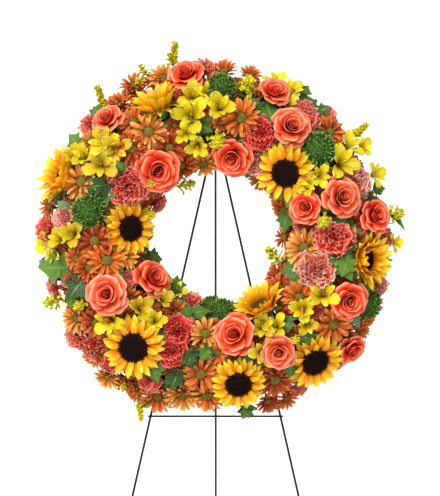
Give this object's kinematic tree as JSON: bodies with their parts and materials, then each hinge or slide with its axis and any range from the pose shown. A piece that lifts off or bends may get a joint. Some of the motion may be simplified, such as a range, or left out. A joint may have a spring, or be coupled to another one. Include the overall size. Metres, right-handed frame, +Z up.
{
  "type": "funeral wreath",
  "caption": "Standing funeral wreath: a ring of mixed autumn flowers in a foam-filled tray, hung on a folding wire easel with a hinged back leg.",
  "frame": {"origin": "on the ground under the middle of the object's box", "axes": "+Z up, the flowers face -Y, +X is the viewer's right"},
  "size_m": [0.6806, 0.5028, 1.3818],
  "materials": {
    "black_wire": "satin black enamel on steel wire",
    "tray_plastic": "matt green moulded tray",
    "wet_foam": "matt green wet floral foam",
    "sunflower_petal": "golden yellow ray petals",
    "seed_disc": "near-black brown seed disc",
    "rose_petal": "velvety coral-orange petals",
    "carnation_petal": "ruffled red-coral petals with pale edges",
    "daisy_petal": "bronze to rust chrysanthemum petals",
    "alstroemeria_petal": "bright yellow petals with brown flecks",
    "goldenrod_floret": "yellow-green florets",
    "leaf_green": "mixed green leaves and green dianthus"
  },
  "bodies": {
    "stand": {"alstroemeria_1": "alstroemeria_petal", "alstroemeria_2": "alstroemeria_petal", "alstroemeria_3": "alstroemeria_petal", "alstroemeria_4": "alstroemeria_petal", "alstroemeria_5": "alstroemeria_petal", "alstroemeria_6": "alstroemeria_petal", "carnations_1": "carnation_petal", "carnations_2": "carnation_petal", "carnations_3": "carnation_petal", "carnations_4": "carnation_petal", "carnations_5": "carnation_petal", "carnations_6": "carnation_petal", "carnations_7": "carnation_petal", "crossbar": "black_wire", "daisies_1": "daisy_petal", "daisies_2": "daisy_petal", "daisies_3": "daisy_petal", "daisies_4": "daisy_petal", "daisies_5": "daisy_petal", "daisies_6": "daisy_petal", "daisies_7": "daisy_petal", "daisies_8": "daisy_petal", "daisies_9": "daisy_petal", "foam_ring": "wet_foam", "front_leg_left": "black_wire", "front_leg_right": "black_wire", "goldenrod_1": "goldenrod_floret", "goldenrod_2": "goldenrod_floret", "goldenrod_3": "goldenrod_floret", "goldenrod_4": "goldenrod_floret", "goldenrod_5": "goldenrod_floret", "greenery_1": "leaf_green", "greenery_2": "leaf_green", "greenery_3": "leaf_green", "greenery_4": "leaf_green", "greenery_5": "leaf_green", "greenery_6": "leaf_green", "hinge_pin": "black_wire", "ring_tray": "tray_plastic", "roses_1": "rose_petal", "roses_2": "rose_petal", "roses_3": "rose_petal", "roses_4": "rose_petal", "roses_5": "rose_petal", "roses_6": "rose_petal", "sunflower_1_disc": "seed_disc", "sunflower_1_petals": "sunflower_petal", "sunflower_2_petals": "sunflower_petal", "sunflower_3_petals": "sunflower_petal", "sunflower_4_petals": "sunflower_petal", "sunflower_5_disc": "seed_disc", "sunflower_5_petals": "sunflower_petal", "sunflower_6_disc": "seed_disc", "sunflower_6_petals": "sunflower_petal", "sunflower_7_disc": "seed_disc", "sunflower_7_petals": "sunflower_petal", "sunflower_8_petals": "sunflower_petal", "sunflower_9_petals": "sunflower_petal", "top_hook": "black_wire"},
    "back_leg": {"back_leg": "black_wire"}
  },
  "joints": [
    {"name": "back_leg_fold", "type": "hinge", "parent": "stand", "child": "back_leg", "pos_m": [-0.00823, -0.03994, 1.17046], "axis": [1, 0, 0], "range_deg": [-22, 0]}
  ]
}
